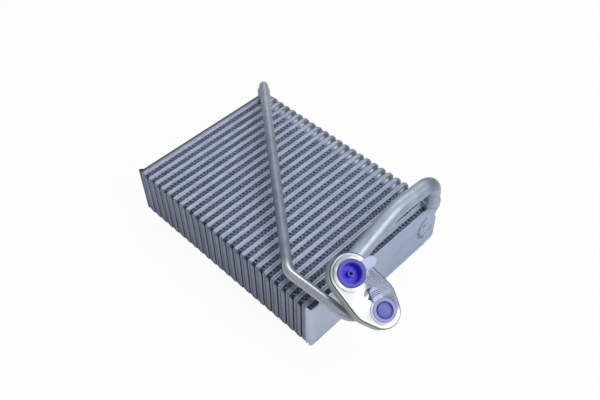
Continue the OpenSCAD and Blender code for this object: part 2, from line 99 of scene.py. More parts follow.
class Wire:
    """A socket in a node tree. Arithmetic on it adds Math nodes, and node() adds any node."""

    def __init__(self, tree, socket):
        self.tree = tree
        self.socket = socket

    def node(self, kind, settings=None, inputs=None, out=None):
        """Adds a node: its settings first, then its sockets' values or links, by name or place."""
        made = self.tree.nodes.new(kind)
        for key, value in (settings or {}).items():
            setattr(made, key, value)
        for key, value in (inputs or {}).items():
            put(made, key, value)
        if out is None:
            return made
        return Wire(self.tree, pick(made.outputs, out))

    def math(self, operation, *others):
        return self.node("ShaderNodeMath", {"operation": operation},
                         dict(enumerate((self, *others))), out="Value")

    def __add__(self, other):
        return self.math("ADD", other)

    def __sub__(self, other):
        return self.math("SUBTRACT", other)

    def __mul__(self, other):
        return self.math("MULTIPLY", other)

    def __truediv__(self, other):
        return self.math("DIVIDE", other)

    def __rsub__(self, other):
        return (self * -1.0) + other

    __radd__ = __add__
    __rmul__ = __mul__

    def above(self, low, high):
        """0 under low, 1 over high, and a smooth rise between them."""
        return self.node("ShaderNodeMapRange", {"interpolation_type": "SMOOTHSTEP"},
                         {"Value": self, "From Min": low, "From Max": high}, out="Result")

    def below(self, low, high):
        """1 under low, 0 over high, and a smooth fall between them."""
        return 1.0 - self.above(low, high)

    def within(self, low, high, rise, fall):
        """1 between low and high and 0 outside, with a smooth rise and a smooth fall inside."""
        return self.above(low, low + rise) * self.below(high - fall, high)

    def diagonal(self, other):
        """The distance from zero of a point that has these two numbers as its coordinates."""
        return (self * self + other * other).math("SQRT")

    def mix(self, low, high):
        """A colour that goes from low to high as this number goes from 0 to 1."""
        return self.node("ShaderNodeMix", {"data_type": "RGBA"},
                         {"Factor_Float": self, "A_Color": low, "B_Color": high}, out="Result_Color")

    def noise(self, scale, detail=3.0, roughness=0.5):
        return self.node("ShaderNodeTexNoise", None,
                         {"Vector": self, "Scale": scale, "Detail": detail, "Roughness": roughness},
                         out="Fac")

    def stretch(self, scale):
        """A position drawn out along the axes, so that a pattern on it becomes long lines."""
        return self.node("ShaderNodeMapping", {"vector_type": "TEXTURE"},
                         {"Vector": self, "Scale": scale}, out="Vector")

    def axes(self):
        """The X, Y and Z of a position."""
        split = self.node("ShaderNodeSeparateXYZ", None, {"Vector": self})
        return [Wire(self.tree, socket) for socket in split.outputs]

    def bump(self, distance, strength):
        return self.node("ShaderNodeBump", None,
                         {"Height": self, "Distance": distance, "Strength": strength}, out="Normal")


def pick(sockets, key):
    """The socket with this identifier, or the one in use with this name."""
    for socket in sockets:
        if socket.identifier == key or (socket.name == key and socket.enabled):
            return socket
    raise KeyError(key)


def put(made, key, value):
    """Links a wire to a socket of a node, or sets the socket's value."""
    socket = made.inputs[key] if isinstance(key, int) else pick(made.inputs, key)
    if isinstance(value, Wire):
        value.tree.links.new(value.socket, socket)
    elif socket.type == "RGBA" and len(value) == 3:
        socket.default_value = (*value, 1.0)
    else:
        socket.default_value = value


def material(name):
    """A new material: the material itself and its Object coordinates."""
    made = bpy.data.materials.new(name)
    made.use_nodes = True
    made.node_tree.nodes.clear()
    start = Wire(made.node_tree, None)
    return made, start.node("ShaderNodeTexCoord", out="Object")


def background_ray(wire):
    """How much of the white background a ray shows: all of it from the camera or through
    plastic, and a share of it off metal."""
    rays = wire.node("ShaderNodeLightPath")
    straight, off, through = (Wire(wire.tree, rays.outputs[name])
                              for name in ("Is Camera Ray", "Is Glossy Ray", "Is Transmission Ray"))
    return straight.math("MAXIMUM", off * METAL_SHOWS).math("MAXIMUM", through)


floor_mesh = bpy.data.meshes.new("floor")
floor_mesh.from_pydata([(-FLOOR_HALF, -FLOOR_HALF, 0), (FLOOR_HALF, -FLOOR_HALF, 0),
                        (FLOOR_HALF, FLOOR_HALF, 0), (-FLOOR_HALF, FLOOR_HALF, 0)], [], [(0, 1, 2, 3)])
floor = bpy.data.objects.new("floor", floor_mesh)
bpy.context.scene.collection.objects.link(floor)
floor_paint, floor_at = material("floor_white")
across, along, _ = floor_at.axes()
low, high = cad_box[0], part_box("right_side_plate")[1]
under = (across.within(low.x + SHADE_LEFT, high.x, *SHADE_SOFT_X)
         * along.within(low.y + SHADE_FRONT, high.y, *SHADE_SOFT_Y))
paper = floor_at.noise(60.0).mix(tuple(FLOOR_CLOUDS * part for part in FLOOR_WHITE), FLOOR_WHITE)
lit = floor_at.node("ShaderNodeBsdfDiffuse", None, {"Color": paper}, out="BSDF")
clear = floor_at.node("ShaderNodeEmission", None, {"Color": WHITE, "Strength": 1.0}, out="Emission")
cleared = background_ray(floor_at) * (1.0 - under) * FLOOR_CLEAR
both = floor_at.node("ShaderNodeMixShader", None, {0: cleared, 1: lit, 2: clear}, out="Shader")
floor_at.node("ShaderNodeOutputMaterial", None, {"Surface": both})
floor_mesh.materials.append(floor_paint)


# The room is a light tent: dim near the floor and brighter overhead, with a cool tint. The
# camera sees plain white instead, and metal shows a share of that white.
ROOM_TINT = (0.86, 0.91, 1.0)
ROOM_LOW = 0.16
ROOM_HIGH = 0.5
ROOM_RISE = (-0.1, 0.95)

world = bpy.data.worlds.new("room")
bpy.context.scene.world = world
world.use_nodes = True
world.node_tree.nodes.clear()
room = Wire(world.node_tree, None)
_, _, toward_top = room.node("ShaderNodeTexCoord", out="Generated").axes()
ceiling = toward_top.above(*ROOM_RISE).mix(tuple(ROOM_LOW * part for part in ROOM_TINT),
                                           tuple(ROOM_HIGH * part for part in ROOM_TINT))
glow = room.node("ShaderNodeBackground", None, {"Color": ceiling, "Strength": 1.0}, out="Background")
white = room.node("ShaderNodeBackground", None, {"Color": WHITE, "Strength": 1.0}, out="Background")
both = room.node("ShaderNodeMixShader", None, {0: background_ray(room), 1: glow, 2: white}, out="Shader")
room.node("ShaderNodeOutputWorld", None, {"Surface": both})


# Four soft lamps: a broad one over the core's right side, a small one above it whose light the
# flange's face throws back, one from the back left for the upper edges, and a weak one for the
# turn ends.
LAMP_AIM = Vector((0, 0, 0.05))


def softbox(name, place, size, watts, tint):
    """A soft rectangular lamp that faces the core."""
    lamp = bpy.data.lights.new(name, "AREA")
    lamp.shape = "RECTANGLE"
    lamp.size, lamp.size_y = size
    lamp.energy = watts
    lamp.color = tint
    stand = bpy.data.objects.new(name, lamp)
    stand.location = place
    stand.rotation_euler = (LAMP_AIM - Vector(place)).to_track_quat("-Z", "Y").to_euler()
    bpy.context.scene.collection.objects.link(stand)


softbox("right_lamp", place=(1.25, 0.35, 1.25), size=(0.6, 1.0), watts=8.5, tint=WHITE)
softbox("flange_lamp", place=(0.89, 0.15, 1.5), size=(0.5, 0.5), watts=2.5, tint=WHITE)
softbox("back_lamp", place=(-0.7, 0.9, 1.6), size=(1.2, 0.9), watts=7.5, tint=(0.93, 0.96, 1.0))
softbox("front_lamp", place=(-0.3, -1.6, 0.7), size=(0.8, 0.5), watts=0.4, tint=(0.9, 0.93, 1.0))


# The flat tubes: two stamped aluminium plates each, brazed edge to edge with a fine groove
# between their rolled edges. Drawn cups stand on the next tube's cups and form the two tanks,
# and a spacer tab bent off the front edge reaches toward the next tube.
MM = 0.001
TUBE_COUNT = 24
TUBE_PITCH = 11.0
TUBE_THICK = 5.4
CORE_WIDTH = 200.0
CORE_DEPTH = 63.0
CORE_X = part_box("tube_24")[1].x - ((TUBE_COUNT - 1) * TUBE_PITCH + TUBE_THICK / 2) * MM
CORE_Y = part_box("tube_01")[0].y
TURN_CORNER = 2.5
LOBE_RADIUS = 10.3
LOBE_ROUND = 1.5
LOBE_BLEND = 7.0
NOTCH_REACH = radians(68)
TANK_Y = CORE_WIDTH - LOBE_RADIUS
UPPER_Z = CORE_DEPTH - LOBE_RADIUS
LOWER_TOP_Z = CORE_DEPTH - 3 * LOBE_RADIUS
LOWER_BOTTOM_Z = LOBE_RADIUS
CORNER_STEPS = 6
LOWER_STEPS = 10
NOTCH_STEPS = 8
UPPER_STEPS = 18
# A plate's rolled edge and its side of the groove: places across it, and depths in from its outline.
EDGE_ROLL = ((0.0, 0.9), (0.1, 0.5), (0.35, 0.2), (0.7, 0.05), (1.1, 0.0))
GROOVE_HALF = 0.9
GROOVE_DEPTH = 0.6
GROOVE_SIDE = ((1.0, 0.0), (0.6, 0.12), (0.3, 0.4))
CUP_RADIUS = 9.0
CUP_FORWARD = 2.0
CUP_RISE = 2.8
CUP_DROP = 2.1
CUP_EMBED = 0.7
CUP_STEPS = 8
CUP_HALF_SIDES = 16
TAB_INNER = 0.6
TAB_REACH = 4.2
TAB_SHEET = 0.9
TAB_TOP = 4.0
TAB_FOOT = 0.5
TAB_CORNER = 2.2
TAB_BREAK = 0.12
TAB_PINCH = 0.25
TAB_SLIM = 8
TAB_STEPS = 5
SHEET_DULL = (0.27, 0.3, 0.385)
SHEET_PALE = (0.425, 0.465, 0.57)
FLUX_WHITE = (0.72, 0.75, 0.82)
# Painted shade for the turn ends, a painted highlight for the tanks' front shoulders, and painted shade for
# the tanks behind them.
PAINTED_TURN_SHADE = (0.1, 0.115, 0.15)
PAINTED_SHOULDER_HIGHLIGHT = (0.8, 0.86, 0.95)
PAINTED_TANK_SHADE = (0.12, 0.14, 0.17)
# Where a look sets in, in millimetres from the turn ends or in shares of a pitch. Four numbers
# are a low and a high end, a rise and a fall.
TURN_SHADE_REACH = (0.8, 2.2)
SHOULDER = (174.0, 186.5, 5.0, 4.0)
BEHIND_SHOULDER = (184.0, 189.0)
BETWEEN_TUBES = (0.17, 0.29)
LINE_WIDTH = 0.0008
VIEW_GREY = (0.7, 0.7, 0.72, 1.0)


def core_point(x, y, z):
    """A point given in millimetres from the first tube, the turn ends and the underside."""
    return Vector((CORE_X + x * MM, CORE_Y + y * MM, z * MM))


def skin(rings):
    """Points and faces of a closed skin through rings of as many points each, with flat ends."""
    count = len(rings[0])
    points = [point for ring in rings for point in ring]
    faces = []
    for low in range(len(rings) - 1):
        for here in range(count):
            there = (here + 1) % count
            faces.append((low * count + here, low * count + there,
                          (low + 1) * count + there, (low + 1) * count + here))
    faces.append(tuple(range(count))[::-1])
    faces.append(tuple((len(rings) - 1) * count + here for here in range(count)))
    return points, faces


def piece(name, shells, smooth=40.0):
    """One mesh object out of closed skins, with its faces outward and its sharp edges kept."""
    mesh = bmesh.new()
    for points, faces in shells:
        placed = [mesh.verts.new(point) for point in points]
        for face in faces:
            mesh.faces.new([placed[corner] for corner in face])
    bmesh.ops.recalc_face_normals(mesh, faces=mesh.faces)
    data = bpy.data.meshes.new(name)
    mesh.to_mesh(data)
    mesh.free()
    data.shade_smooth()
    data.set_sharp_from_angle(angle=radians(smooth))
    made = bpy.data.objects.new(name, data)
    bpy.context.scene.collection.objects.link(made)
    return made


def arc(centre, radius, first, last, steps):
    """Points along an arc, both its ends among them."""
    return [(centre[0] + radius * cos(first + (last - first) * k / steps),
             centre[1] + radius * sin(first + (last - first) * k / steps)) for k in range(steps + 1)]


def tube_edge():
    """The tube's outline along Y and Z, anticlockwise."""
    half = pi / 2
    top = CORE_DEPTH - TURN_CORNER
    return (arc((TURN_CORNER, TURN_CORNER), TURN_CORNER, -2 * half, -half, CORNER_STEPS)
            + [(TANK_Y - LOBE_BLEND, 0.0)]
            + arc((TANK_Y, LOWER_BOTTOM_Z), LOBE_RADIUS, -half, 0, LOWER_STEPS)
            + arc((TANK_Y, LOWER_TOP_Z), LOBE_RADIUS, 0, NOTCH_REACH, NOTCH_STEPS)
            + arc((TANK_Y, UPPER_Z), LOBE_RADIUS, -NOTCH_REACH, half, UPPER_STEPS)
            + [(TANK_Y - LOBE_BLEND, CORE_DEPTH)]
            + arc((TURN_CORNER, top), TURN_CORNER, half, 2 * half, CORNER_STEPS))


def inset(outline, *depths):
    """The outline moved inward along its normals, by one depth or by one for each point."""
    moved = []
    for k, here in enumerate(outline):
        depth = depths[k % len(depths)]
        before = Vector(outline[k - 1])
        after = Vector(outline[(k + 1) % len(outline)])
        away = Vector((after.y - before.y, before.x - after.x)).normalized()
        moved.append((here[0] - away.x * depth, here[1] - away.y * depth))
    return moved


def plate_body(x):
    """The two plates' flat part: rolled edges with the brazed groove between them, and a round
    edge where they form the tanks."""
    edge = tube_edge()
    half = TUBE_THICK / 2
    rows = [(place - half, depth) for place, depth in EDGE_ROLL]
    rows += [(-GROOVE_HALF * share, depth) for share, depth in GROOVE_SIDE]
    rows.append((0.0, GROOVE_DEPTH))
    rows += [(-place, depth) for place, depth in rows[-2::-1]]
    rings = []
    for place, depth in rows:
        bead = LOBE_ROUND * (1 - (1 - (place / half) ** 2) ** 0.5)
        depths = [bead if spot[0] >= TANK_Y else depth for spot in edge]
        rings.append([core_point(x + place, *spot) for spot in inset(edge, *depths)])
    return skin(rings)


def cup_skin(x, low, high, side):
    """One drawn cup: its foot in the plate, its round shoulder, and the face on the next cup."""
    rows = [(TUBE_THICK / 2 - CUP_EMBED, CUP_RADIUS), (TUBE_THICK / 2, CUP_RADIUS)]
    for k in range(1, CUP_STEPS + 1):
        turn = pi / 2 * k / CUP_STEPS
        rows.append((TUBE_THICK / 2 + CUP_RISE * sin(turn), CUP_RADIUS - CUP_DROP * (1 - cos(turn))))
    rings = []
    for place, radius in rows:
        ring = (arc((TANK_Y - CUP_FORWARD, low), radius, -pi, 0, CUP_HALF_SIDES)
                + arc((TANK_Y - CUP_FORWARD, high), radius, 0, pi, CUP_HALF_SIDES))
        if low == high:
            ring = ring[:CUP_HALF_SIDES] + ring[CUP_HALF_SIDES + 1:-1]
        rings.append([core_point(x + side * place, *spot) for spot in ring])
    return skin(rings)


def spacer_tab(x):
    """The strip bent off the plate's front edge toward the next tube."""
    low, high = TAB_FOOT, CORE_DEPTH - TAB_TOP
    far = TUBE_THICK / 2 + TAB_REACH
    outline = ([(TAB_INNER, high), (TAB_INNER, low)]
               + arc((far - TAB_CORNER, low + TAB_CORNER), TAB_CORNER, -pi / 2, 0, TAB_STEPS)
               + arc((far - TAB_CORNER, high - TAB_CORNER), TAB_CORNER, 0, pi / 2, TAB_STEPS))
    rings = []
    for depth, shrink in ((0.0, TAB_PINCH), (TAB_BREAK, 0.0),
                          (TAB_SHEET - TAB_BREAK, 0.0), (TAB_SHEET, TAB_PINCH)):
        ring = []
        for out, along in outline:
            inward = shrink if along < CORE_DEPTH / 2 else -shrink
            ring.append(core_point(x + out * (1 - shrink / TAB_SLIM), depth, along + inward))
        rings.append(ring)
    return skin(rings)


def surface(made, **sockets):
    """Closes a material with one Principled shader; _ in a socket's name stands for a space."""
    start = Wire(made.node_tree, None)
    named = {key.replace("_", " "): value for key, value in sockets.items()}
    shader = start.node("ShaderNodeBsdfPrincipled", None, named, out="BSDF")
    start.node("ShaderNodeOutputMaterial", None, {"Surface": shader})
    made.diffuse_color = VIEW_GREY
    return made


def rolled_sheet(at, line_length):
    """Rolled sheet's clouds and fine lines, the tone that both make, and its uneven roughness."""
    cloud = at.noise(45.0, 4.0, 0.6)
    lines = at.stretch((LINE_WIDTH, line_length, LINE_WIDTH)).noise(1.0, 4.0, 0.65)
    tone = (cloud * 0.55 + lines * 0.45).above(0.25, 0.75)
    return cloud, lines, tone, (lines - 0.5) * 0.22 + (cloud - 0.5) * 0.2


def tube_material():
    """Satin sheet with cloudy flux stains, fine rolling lines and small pits, with painted shade on the
    turn ends. Between the tubes the tanks have a painted highlight at their front shoulder and
    painted shade behind it."""
    made, at = material("tube_aluminium")
    x, y, _ = at.axes()
    from_turns = (y - CORE_Y) / MM
    pitches = (x - CORE_X) / (TUBE_PITCH * MM) + 0.5
    off = (pitches - pitches.math("FLOOR") - 0.5).math("ABSOLUTE")
    cloud, lines, tone, uneven = rolled_sheet(at, 0.02)
    specks = at.noise(1400.0, 2.0)
    flux = (at.noise(130.0, 5.0, 0.7) + cloud * 0.3).above(0.66, 0.86)
    sheet = (flux * 0.35).mix(tone.mix(SHEET_DULL, SHEET_PALE), FLUX_WHITE)
    # Painted shade on the turn ends.
    sheet = (from_turns.below(*TURN_SHADE_REACH) * 0.3).mix(sheet, PAINTED_TURN_SHADE)
    # Painted highlight on the tanks' front shoulders, and painted shade behind them.
    tank = (from_turns.within(*SHOULDER) * 0.75).mix(sheet, PAINTED_SHOULDER_HIGHLIGHT)
    tank = (from_turns.above(*BEHIND_SHOULDER) * 0.8).mix(tank, PAINTED_TANK_SHADE)
    return surface(made, Base_Color=off.above(*BETWEEN_TUBES).mix(sheet, tank), Metallic=0.55,
                   Roughness=uneven + flux * 0.18 + 0.4,
                   Normal=(lines * 0.6 + specks * 0.4).bump(0.00006, 0.6))


def dress(made, paint, slot, *replaced):
    """Gives a finished piece its material and ties it to the CAD nodes that it stands for."""
    made.data.materials.clear()
    made.data.materials.append(paint)
    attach(made, "root")
    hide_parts(*replaced)


tube_paint = tube_material()
for k in range(TUBE_COUNT):
    x = k * TUBE_PITCH
    shells = [plate_body(x)]
    last = k == TUBE_COUNT - 1
    if k > 0:
        shells.append(cup_skin(x, LOWER_BOTTOM_Z, LOWER_TOP_Z, -1))
    if not last:
        shells += [cup_skin(x, LOWER_BOTTOM_Z, LOWER_TOP_Z, 1), spacer_tab(x)]
    if k > 1:
        shells.append(cup_skin(x, UPPER_Z, UPPER_Z, -1))
    if k > 0 and not last:
        shells.append(cup_skin(x, UPPER_Z, UPPER_Z, 1))
    dress(piece(f"flat_tube_{k + 1:02d}", shells), tube_paint, "tube_aluminium", f"tube_{k + 1:02d}")


# The fins: thin aluminium strip folded into close waves with flat crests, brazed to the tubes at
# every crest. One node tree folds the strip from its named sizes, and each space gets its own.
FIN_FOLD = 4.8
FIN_SHEET = 0.2
FIN_START = 3.6
FIN_CLEAR = 0.2
FIN_END = TANK_Y - CUP_FORWARD - CUP_RADIUS - FIN_CLEAR
FIN_RECESS = 0.6
FIN_GAP = TUBE_PITCH - TUBE_THICK
FOLD_POINTS = 4
FOLD_MIDDLE = (FOLD_POINTS - 1) / 2
FOLD_LEAD = 0.1
WALL_LEAN = 0.05
FOLD_INPUTS = (("Start X", "Float"), ("Start Y", "Float"), ("Start Z", "Float"), ("Fold", "Float"),
               ("Gap", "Float"), ("Height", "Float"), ("Points", "Int"), ("Paint", "Material"))
LOUVRE_PITCH = 0.0011
# Painted light on the fins: shade in the folds, a highlight along the upper edge, and the suction pipe's
# shadow on the last fin.
EDGE_HIGHLIGHT_BAND = 1.5
PIPE_SHADOW_FIN_X = (0.089, 0.09)
FOLD_SHADE_COLOURS = ((0.13, 0.155, 0.23), (0.22, 0.255, 0.36))
EDGE_HIGHLIGHT_COLOURS = ((0.46, 0.52, 0.67), (0.62, 0.68, 0.83))


def folding_tree():
    """The node tree that folds one fin, and the identifiers of its inputs by name. Of the four
    points of a fold, the two in the middle stand on the far tube and the others on the near one."""
    tree = bpy.data.node_groups.new("fin_folds", "GeometryNodeTree")
    tree.interface.new_socket("Geometry", in_out="INPUT", socket_type="NodeSocketGeometry")
    ids = {}
    for name, kind in FOLD_INPUTS:
        socket = tree.interface.new_socket(name, in_out="INPUT", socket_type="NodeSocket" + kind)
        ids[name] = socket.identifier
    tree.interface.new_socket("Geometry", in_out="OUTPUT", socket_type="NodeSocketGeometry")
    wire = Wire(tree, None)
    given = wire.node("NodeGroupInput")
    value = {socket.name: Wire(tree, socket) for socket in given.outputs if socket.name}
    line = wire.node("GeometryNodeMeshLine", {"mode": "OFFSET"}, {"Count": value["Points"]}, out="Mesh")
    index = wire.node("GeometryNodeInputIndex", out="Index")
    fold = (index / FOLD_POINTS).math("FLOOR")
    step = index - fold * FOLD_POINTS
    lean = step.math("MODULO", 2.0) * WALL_LEAN
    along = (fold + step / FOLD_POINTS + lean + FOLD_LEAD) * value["Fold"]
    crest = (step - FOLD_MIDDLE).math("ABSOLUTE").math("LESS_THAN", 1.0)
    place = wire.node("ShaderNodeCombineXYZ", None,
                      {"X": value["Start X"] + crest * value["Gap"],
                       "Y": value["Start Y"] + along, "Z": value["Start Z"]}, out="Vector")
    folded = wire.node("GeometryNodeSetPosition", None, {"Geometry": line, "Position": place},
                       out="Geometry")
    rise = wire.node("ShaderNodeCombineXYZ", None, {"Z": value["Height"]}, out="Vector")
    strip = wire.node("GeometryNodeExtrudeMesh", {"mode": "EDGES"},
                      {"Mesh": folded, "Offset": rise, "Offset Scale": 1.0}, out="Mesh")
    real = wire.node("GeometryNodeRealizeInstances", None, {"Geometry": strip}, out="Geometry")
    painted = wire.node("GeometryNodeSetMaterial", None, {"Geometry": real, "Material": value["Paint"]},
                        out="Geometry")
    wire.node("NodeGroupOutput", None, {"Geometry": painted})
    return tree, ids


def fin_material():
    """Thin strip with rows of louvres cut across its walls, with painted shade down in the folds and
    a painted highlight along its upper edge, mostly taken off the last fin, beside the side plate,
    as a painted shadow of the suction pipe."""
    made, at = material("fin_aluminium")
    x, _, z = at.axes()
    top = (CORE_DEPTH - FIN_RECESS) * MM
    louvres = (z * 2 * pi / LOUVRE_PITCH).math("SINE")
    # Painted highlight along the upper edge, mostly taken off the last fin as the suction pipe's painted
    # shadow.
    edge = z.above(top - EDGE_HIGHLIGHT_BAND * MM, top) * (1.0 - x.above(*PIPE_SHADOW_FIN_X) * 0.7)
    cloud = at.noise(60.0, 3.0)
    grain = at.noise(900.0, 2.0)
    tone = (cloud * 0.6 + grain * 0.4).above(0.3, 0.7)
    # Painted shade down in the folds, painted highlight along the edge.
    return surface(made, Base_Color=edge.mix(tone.mix(*FOLD_SHADE_COLOURS), tone.mix(*EDGE_HIGHLIGHT_COLOURS)),
                   Metallic=0.5, Roughness=(grain - 0.5) * 0.3 + 0.45,
                   Normal=louvres.bump(0.00015, 0.8))


def evaluated(made):
    """The mesh that an object's modifiers make of it."""
    bpy.context.view_layer.update()
    return bpy.data.meshes.new_from_object(made.evaluated_get(bpy.context.evaluated_depsgraph_get()))


fin_paint = fin_material()
fold_tree, fold_ids = folding_tree()
fin_points = FOLD_POINTS * int((FIN_END - FIN_START) / FIN_FOLD)
for k in range(TUBE_COUNT):
    blank = bpy.data.objects.new("fin_blank", bpy.data.meshes.new("fin_blank"))
    bpy.context.scene.collection.objects.link(blank)
    start = core_point(k * TUBE_PITCH + TUBE_THICK / 2 + FIN_SHEET / 2, FIN_START, FIN_RECESS)
    fold_up = blank.modifiers.new("folds", "NODES")
    fold_up.node_group = fold_tree
    for name, number in (("Start X", start.x), ("Start Y", start.y), ("Start Z", start.z),
                         ("Fold", FIN_FOLD * MM), ("Gap", (FIN_GAP - FIN_SHEET) * MM),
                         ("Height", (CORE_DEPTH - 2 * FIN_RECESS) * MM), ("Points", fin_points),
                         ("Paint", fin_paint)):
        fold_up[fold_ids[name]] = number
    sheet = blank.modifiers.new("sheet", "SOLIDIFY")
    sheet.thickness = FIN_SHEET * MM
    sheet.offset = 0.0
    done = evaluated(blank)
    bpy.data.objects.remove(blank)
    done.name = f"corrugated_fin_{k + 1:02d}"
    fin = bpy.data.objects.new(done.name, done)
    bpy.context.scene.collection.objects.link(fin)
    dress(fin, fin_paint, "fin_aluminium", f"fin_{k + 1:02d}")


# The two side plates: rolled sheet, cut and bent. The left one is flared at its front end, the
# right one is folded round the front corner and has a pressed ring at its tank end.
WELD_DISTANCE = 1e-6
FLAT_ANGLE = radians(0.6)
CORNER_ANGLE = radians(35)
SMOOTH_ANGLE = radians(32)
BREAK_SEGMENTS = 2
PLATE_BREAK = 0.3
# Where a look sets in, in metres of the core's own frame.
RING_AT = (0.0842, 0.033)
PAINTED_HOLE_AT = (0.0784, 0.0373)
HOLE_EDGE = (0.0009, 0.0016)
PIT_RADIUS = 0.0155
PIT_BAND = (0.0012, 0.0034)
PITS_BEFORE_Y = (0.078, 0.084)
RIGHT_PLATE_X = (0.09, 0.095)
SHADED_TOP_EDGE_X = (-0.167, -0.1664)
SHADED_TOP_EDGE_Z = (0.0618, 0.0626)
LIGHTER_FRONT_X = (0.0, 0.05)
LIGHTER_FRONT_Y = (CORE_Y, CORE_Y + 0.13)
LEFT_PLATE_SHADE_X = (-0.1, 0.0)
PLATE_COLOURS = ((0.4, 0.47, 0.62), (0.51, 0.58, 0.73))
LIGHTER_FRONT_COLOURS = ((0.67, 0.75, 0.89), (0.75, 0.82, 0.92))
# Painted shade for the left plate, and one dark colour for the flux pits and for painted shade on the left
# plate's top edge and in the small hole.
LEFT_PLATE_SHADE = (0.1, 0.11, 0.16)
PITS_AND_SHADE_DARK = (0.03, 0.035, 0.05)


def softened(node, name, width):
    """A copy of a CAD node with its edges broken, as a file or a press leaves them."""
    copied = nodes[node].data.copy()
    mesh = bmesh.new()
    mesh.from_mesh(copied)
    bmesh.ops.remove_doubles(mesh, verts=mesh.verts, dist=WELD_DISTANCE)
    bmesh.ops.dissolve_limit(mesh, angle_limit=FLAT_ANGLE, verts=mesh.verts, edges=mesh.edges)
    mesh.to_mesh(copied)
    mesh.free()
    copied.name = name
    made = bpy.data.objects.new(name, copied)
    bpy.context.scene.collection.objects.link(made)
    broken = made.modifiers.new("broken_edge", "BEVEL")
    broken.width = width * MM
    broken.segments = BREAK_SEGMENTS
    broken.limit_method = "ANGLE"
    broken.angle_limit = CORNER_ANGLE
    broken.use_clamp_overlap = True
    done = evaluated(made)
    made.modifiers.clear()
    made.data = done
    done.shade_smooth()
    done.set_sharp_from_angle(angle=SMOOTH_ANGLE)
    return made


def plate_material():
    """Rolled sheet, lighter toward the turn ends of the right plate, and darkened with painted shade on
    the left one, whose top edge has darker painted shade still. Pits of brazing flux lie round the
    front of the pressed ring, and beside its middle a small dark disc of painted shade marks a hole."""
    made, at = material("plate_aluminium")
    x, y, z = at.axes()
    cloud, lines, tone, uneven = rolled_sheet(at, 0.03)
    # Lighter toward the turn ends of the right plate.
    lighter_front = y.below(*LIGHTER_FRONT_Y) * x.above(*LIGHTER_FRONT_X)
    sheet = lighter_front.mix(tone.mix(*PLATE_COLOURS), tone.mix(*LIGHTER_FRONT_COLOURS))
    # Painted shade over the whole left plate.
    left_plate_shaded = (x.below(*LEFT_PLATE_SHADE_X) * 0.7).mix(sheet, LEFT_PLATE_SHADE)
    # Painted shade along the left plate's top edge.
    shaded_top_edge = x.below(*SHADED_TOP_EDGE_X) * z.above(*SHADED_TOP_EDGE_Z)
    from_ring = (y - RING_AT[0]).diagonal(z - RING_AT[1])
    band = (from_ring - PIT_RADIUS).math("ABSOLUTE").below(*PIT_BAND)
    right_plate = x.above(*RIGHT_PLATE_X)
    pits = at.noise(520.0, 2.0, 0.6).above(0.46, 0.52) * band * y.below(*PITS_BEFORE_Y) * right_plate
    # Painted shade: a small dark disc stands for the inside of a hole.
    painted_hole = (y - PAINTED_HOLE_AT[0]).diagonal(z - PAINTED_HOLE_AT[1]).below(*HOLE_EDGE) * right_plate
    # The flux pits are the plate's own marks; the top edge and the hole are painted shade.
    pits_and_shade = shaded_top_edge.math("MAXIMUM", (pits * 0.95).math("MAXIMUM", painted_hole))
    return surface(made, Base_Color=pits_and_shade.mix(left_plate_shaded, PITS_AND_SHADE_DARK), Metallic=0.45, Roughness=uneven + 0.42,
                   Normal=(lines * 0.6 + cloud * 0.4).bump(0.00006, 0.6))


plate_paint = plate_material()
for node in ("left_side_plate", "right_side_plate"):
    dress(softened(node, node + "_sheet", PLATE_BREAK), plate_paint, "plate_aluminium", node)


# The pipes: drawn aluminium tube, bent, its foot brazed into a collar on the tank with a round
# fillet of filler, and its other end pressed into the back of the flange. A rise is a height
# over the core, and a drop a depth behind the flange's face.
PIPE_SIDES = 48
BEND_STEP = radians(5)
FILLET_STEPS = 5
CONNECTOR_BREAK = 0.4
PLATE_SHEET = 1.6
LAST_FACE = (TUBE_COUNT - 1) * TUBE_PITCH + TUBE_THICK / 2
PLATE_FACE = LAST_FACE + FIN_GAP + PLATE_SHEET
FLANGE_OUT = 20.0
FLANGE_BACK = 31.6
FLANGE_RISE = 50.6
FLANGE_TURN = radians(4)
FLANGE_SLOPE = radians(30)
FLANGE_ROLL = radians(12)
FLANGE_AT = core_point(PLATE_FACE + FLANGE_OUT, FLANGE_BACK, CORE_DEPTH + FLANGE_RISE)
FLANGE_POSE = (Matrix.Rotation(FLANGE_TURN, 4, "Z") @ Matrix.Rotation(FLANGE_SLOPE, 4, "Y")
               @ Matrix.Rotation(FLANGE_ROLL, 4, "X"))
PORT_SPACING = 44.5
SEAT_DROP = 10
SUCTION_OD = 18.0
SUCTION_X = LAST_FACE + FIN_GAP / 2
SUCTION_FLOOR = 2
SUCTION_RISE = 36
SUCTION_SWAY = 2
SUCTION_SWAY_RUN = 61
SUCTION_SWAY_RISE = 38
SUCTION_DROP = 44
SUCTION_BENDS = (20, 70, 22)
SUCTION_FILLET = (4.6, 1.6, 1.2)
LIQUID_OD = 11.0
LIQUID_X = TUBE_THICK / 2 + FIN_GAP / 2
LIQUID_FOOT_BACK = 17
LIQUID_Y = CORE_WIDTH - LIQUID_FOOT_BACK
LIQUID_FLOOR = 3
LIQUID_RISE = 28
CORNER_IN = 41.5
CORNER_BACK = 11.5
CORNER_RISE = 14
OUTER_OUT = 31.7
OUTER_BACK = 16
OUTER_RISE = 10
LIQUID_DROP = 34
LIQUID_BENDS = (11, 16, 12, 12)
LIQUID_FILLET = (12.2, 1.4, 1.2)
# Where a look sets in, in metres of the core's own frame.
FRONT_LEG_Y = (-0.088, -0.08)
RUBBED_Y = (0.0, 0.09)
ELBOW_SHADE_Y = (0.064, 0.08)
ELBOW_SHADE_Z = (0.088, 0.1)
SUCTION_COLOURS = ((0.36, 0.415, 0.475), (0.49, 0.545, 0.62))
# Painted shade: the liquid pipe is the same aluminium as the suction pipe, made darker in colour.
LIQUID_SHADE_COLOURS = ((0.2, 0.23, 0.28), (0.3, 0.34, 0.4))
